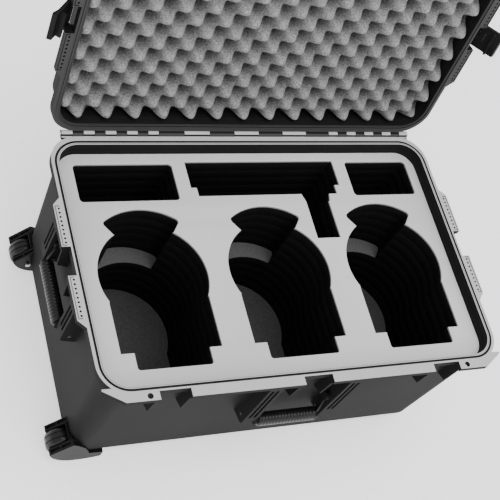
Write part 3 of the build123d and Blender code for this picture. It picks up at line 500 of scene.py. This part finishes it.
# %% Lower planks, cut round the wheel wells
lower_data = frame["nodes"]["foam_lower_layers"].data
lower_levels = sorted({round(v.co.z, 5) for v in lower_data.vertices})
well_top = lower_levels[1] if len(lower_levels) > 2 else lower_levels[0] + 0.001
plank_stack("foam_lower_planks", "foam_lower_layers", 4, deep_foam, [(well_top, 0.0)])
notched = [evened(p[::-1], LOOP_STEP) for p in border_loops("foam_lower_layers", lower_levels[0])]
foot = planked("foam_lower_foot", notched, [(lower_levels[0], 0.0), (well_top, 0.0)], [deep_foam])
stays(foot, "foam_lower_layers")
pad_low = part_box("foam_floor_pad")[0].z
PAD_BEVEL_IN = 9.5 * MM
PAD_BEVEL_UP = 9 * MM
plank_stack("foam_floor", "foam_floor_pad", 2, floor_foam,
            [(pad_low, PAD_BEVEL_IN), (pad_low + PAD_BEVEL_UP, 0.0)])
print("the wells reach", round(well_top, 4), "and the floor pad starts at", round(pad_low, 4))

# %% [markdown]
# The lid is lined with convoluted foam: a slab pressed between rollers and slit, which leaves a field of
# rounded peaks, each row shifted half a step from the next. The height is a product of two cosines, which
# puts a peak diagonally between every four pits, and a power below one flattens the tips and pits. The
# slab is cut straight through at its edges, so its outline is scalloped where it cuts a row of peaks.

# %% Convoluted lid foam
PEAK_STEP = 53 * MM          # peak to peak along a row
ROW_STEP = 27 * MM           # row to row
PEAK_DEPTH = 3 * MM          # tips below the rim plane
PIT_DEPTH = 35 * MM
FOAM_STEP = 3.3 * MM         # mesh size
SHIFT = 13 * MM              # where the first peak falls


def wave(x, y):
    """0 at a tip to 1 in a pit."""
    bump = cos(2 * pi * (x + SHIFT) / PEAK_STEP) * cos(pi * y / ROW_STEP)
    shaped = abs(bump) ** 0.85 * (1 if bump > 0 else -1)
    return 0.5 - 0.5 * shaped


def lid_foam_size():
    """Half length, near and far edge, and back, of the lid foam in the closed lid."""
    corners = [v.co.copy() for v in frame["nodes"]["lid_foam"].data.vertices]
    shut = [swing_open.inverted() @ c for c in corners]
    half = max(c.x for c in shut) - 3 * MM
    return half, min(c.y for c in shut) + 3 * MM, max(c.y for c in shut) - 9 * MM, max(c.z for c in shut)


def narrowing(y, front, back, corner):
    """How far the foam's end moves in near a rounded corner."""
    near = min(y - front, back - y)
    if near >= corner:
        return 0.0
    return corner - (corner ** 2 - (corner - near) ** 2) ** 0.5


def convoluted_foam(material):
    half, front, back, top = lid_foam_size()
    across = round(2 * half / FOAM_STEP)
    along = round((back - front) / FOAM_STEP)
    mesh = bmesh.new()
    rows = []
    for j in range(along + 1):
        y = front + (back - front) * j / along
        reach = half - narrowing(y, front, back, 32 * MM)
        row = []
        for i in range(across + 1):
            x = reach * (2 * i / across - 1)
            depth = PEAK_DEPTH + (PIT_DEPTH - PEAK_DEPTH) * wave(x, y)
            row.append(mesh.verts.new(swing_open @ Vector((x, y, RIM_Z + depth))))
        rows.append(row)
    for a, b in zip(rows, rows[1:]):
        for i in range(across):
            mesh.faces.new((a[i], b[i], b[i + 1], a[i + 1]))
    border = rows[0] + [row[-1] for row in rows[1:]] + rows[-1][-2::-1] + [row[0] for row in rows[-2:0:-1]]
    inner_way = swing_open.to_3x3() @ Vector((0, 0, 1))
    floor_point = swing_open @ Vector((0, 0, top))
    backing = [mesh.verts.new(v.co + inner_way * (floor_point - v.co).dot(inner_way)) for v in border]
    count = len(border)
    for i in range(count):
        j = (i + 1) % count
        mesh.faces.new((border[i], border[j], backing[j], backing[i]))
    mesh.faces.new(backing)
    bmesh.ops.recalc_face_normals(mesh, faces=mesh.faces)
    data = bpy.data.meshes.new("lid_convoluted_foam")
    mesh.to_mesh(data)
    mesh.free()
    data.materials.append(material)
    data.polygons.foreach_set("use_smooth", [True] * len(data.polygons))
    data.set_sharp_from_angle(angle=radians(55))
    piece = bpy.data.objects.new("lid_convoluted_foam", data)
    bpy.context.scene.collection.objects.link(piece)
    return piece


def crate_foam():
    """Mid grey open-cell foam with dark and pale flecks, and painted shade that darkens it from the tips
    down into the pits.
    """
    material = finish("convoluted foam", (0.2, 0.2, 0.2), 0.95, Specular_IOR_Level=0.1)
    flecks = noise(material, 330.0, 4.0, 0.7).outputs["Fac"]
    peaks = ramp(material, flecks, [(0.32, 0.14), (0.5, 0.27), (0.7, 0.42)])
    pits = ramp(material, flecks, [(0.32, LOOP_STEP), (0.5, 0.03), (0.7, 0.07)])
    # Painted shade: the deeper a point lies in the lid, the more the dark pits ramp takes over from the
    # peaks ramp.
    into_lid = swing_open.to_3x3() @ Vector((0, 0, 1))
    depth = beyond(material, tuple(hinge), tuple(into_lid), PEAK_DEPTH * 2, PIT_DEPTH)
    colour = blended(material, depth, peaks.outputs["Color"], pits.outputs["Color"])
    link(material, colour, shader_of(material).inputs["Base Color"])
    grain(material, [(450.0, 0.0006), (130.0, 0.0005)])
    return material


lid_lining = convoluted_foam(crate_foam())
stays(lid_lining, "lid_foam", "lid")
print("lid foam vertices", len(lid_lining.data.vertices))

# %% [markdown]
# The soft grips and the tyres are turned shapes. A profile of (distance along, radius) points swept round
# an axis makes either one: seventeen rings along a grip, or the crowned tread of a tyre with its grooves.


# %% Turned pieces: ribbed grips and tyres
def turned(name, centre, axis, profile, material, steps=72):
    """Sweeps (along, radius) points round an axis through centre."""
    axis = Vector(axis).normalized()
    side = axis.orthogonal().normalized()
    up = axis.cross(side)
    mesh = bmesh.new()
    rings = []
    for along, radius in profile:
        ring = []
        for i in range(steps):
            turn = 2 * pi * i / steps
            ring.append(mesh.verts.new(centre + axis * along + (side * cos(turn) + up * sin(turn)) * radius))
        rings.append(ring)
    for a, b in zip(rings, rings[1:] + rings[:1]):
        for i in range(steps):
            j = (i + 1) % steps
            mesh.faces.new((a[i], a[j], b[j], b[i]))
    bmesh.ops.recalc_face_normals(mesh, faces=mesh.faces)
    data = bpy.data.meshes.new(name)
    mesh.to_mesh(data)
    mesh.free()
    data.materials.append(material)
    data.polygons.foreach_set("use_smooth", [True] * len(data.polygons))
    data.set_sharp_from_angle(angle=radians(50))
    piece = bpy.data.objects.new(name, data)
    bpy.context.scene.collection.objects.link(piece)
    return piece


def grip_profile(half, outer, bore, ribs=17, groove=0.8 * MM):
    """Ribs as rounded waves between two plain collars, closed through the bore."""
    collar = 3 * MM
    points = [(-half, bore), (-half, outer - 1 * MM), (-half + 0.8 * MM, outer)]
    start = -half + collar
    pitch = 2 * (half - collar) / ribs
    for i in range(ribs * 8 + 1):
        phase = i / 8
        dip = (0.5 - 0.5 * cos(2 * pi * phase)) ** 3
        points.append((start + pitch * phase, outer - groove * dip))
    points += [(half - 0.8 * MM, outer), (half, outer - 1 * MM), (half, bore)]
    return points


AXES = {"front": (1, 0, 0), "left": (0, 1, 0), "right": (0, 1, 0)}
for side_name, axis in AXES.items():
    low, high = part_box(f"{side_name}_handle_grip")
    size = high - low
    half = max(size.x, size.y) / 2
    grip = turned(f"{side_name}_grip_sleeve", (low + high) / 2, axis,
                  grip_profile(half, size.z / 2, 5 * MM), grip_rubber)
    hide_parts(f"{side_name}_handle_grip")
    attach(grip, f"{side_name}_handle")
    print(grip.name, "half length", round(half, 4))


def tyre_profile(half, outer, bore):
    """Crowned tread with two grooves and rounded shoulders."""
    points = [(-half, bore), (-half, outer - 6 * MM), (-half + 1.5 * MM, outer - 2.5 * MM),
              (-half + 4 * MM, outer - 0.8 * MM)]
    for groove in (-5 * MM, 5 * MM):
        points += [(groove - 1.2 * MM, outer - 0.1 * MM), (groove - 0.7 * MM, outer - 1.6 * MM),
                   (groove + 0.7 * MM, outer - 1.6 * MM), (groove + 1.2 * MM, outer - 0.1 * MM)]
    points += [(half - 4 * MM, outer - 0.8 * MM), (half - 1.5 * MM, outer - 2.5 * MM),
               (half, outer - 6 * MM), (half, bore)]
    return points


for end in ("front", "rear"):
    low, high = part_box(f"wheel_tyre_{end}")
    size = high - low
    hub_low, hub_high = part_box(f"wheel_hub_{end}")
    tyre = turned(f"tyre_{end}", (low + high) / 2, (0, 1, 0),
                  tyre_profile(size.y / 2, size.z / 2, (hub_high.z - hub_low.z) / 2), tyre_rubber, 96)
    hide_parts(f"wheel_tyre_{end}")
    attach(tyre, f"wheel_{end}")

# %% [markdown]
# Last comes the studio: a pale floor that glows a little, a broad soft light over the case and a weaker one
# in front, so the dark plastic shows its form without hard shadows. The camera looks down over the front
# left corner with a long lens and leans to one side.


# %% Floor, lights and camera
def floor_sheet():
    data = bpy.data.meshes.new("floor")
    reach = 30.0
    data.from_pydata([(-reach, -reach, 0), (reach, -reach, 0), (reach, reach, 0), (-reach, reach, 0)], [],
                     [(0, 1, 2, 3)])
    piece = bpy.data.objects.new("floor", data)
    bpy.context.scene.collection.objects.link(piece)
    data.materials.append(finish("pale floor", (0.9, 0.9, 0.9), 0.9, Specular_IOR_Level=0.1,
                                 Emission_Color=(1, 1, 1, 1), Emission_Strength=1.0))
    piece.location.z = -0.0005
    return piece


def softbox(name, place, target, size, power):
    data = bpy.data.lights.new(name, "AREA")
    data.shape = "SQUARE"
    data.size = size
    data.energy = power
    lamp = bpy.data.objects.new(name, data)
    lamp.location = place
    lamp.rotation_euler = (Vector(target) - Vector(place)).to_track_quat("-Z", "Y").to_euler()
    bpy.context.scene.collection.objects.link(lamp)
    return lamp


floor_sheet()
world = bpy.data.worlds.new("studio")
bpy.context.scene.world = world
world.use_nodes = True
world.node_tree.nodes["Background"].inputs["Color"].default_value = (1, 1, 1, 1)
world.node_tree.nodes["Background"].inputs["Strength"].default_value = 0.9
softbox("top light", (0.2, -0.5, 3.2), (0, 0, 0.3), 2.2, 60)
softbox("front light", (-0.6, -3.0, 1.6), (0, 0, 0.3), 2.0, 25)

CAMERA_PLACE = Vector((-0.9656, -0.8934, hinge.z + 1.6244))
CAMERA_RIGHT = Vector((0.898, -0.251, 0.362))
CAMERA_UP = Vector((0.040, 0.865, 0.501))
LENS = 85.2

camera_data = bpy.data.cameras.new("camera")
camera_data.lens = LENS
camera = bpy.data.objects.new("camera", camera_data)
back_way = CAMERA_RIGHT.cross(CAMERA_UP).normalized()
right_way = CAMERA_RIGHT.normalized()
up_way = back_way.cross(right_way)
camera_turn = Matrix((right_way, up_way, back_way)).transposed().to_4x4()
camera.matrix_world = Matrix.Translation(CAMERA_PLACE) @ camera_turn
bpy.context.scene.collection.objects.link(camera)
bpy.context.scene.camera = camera
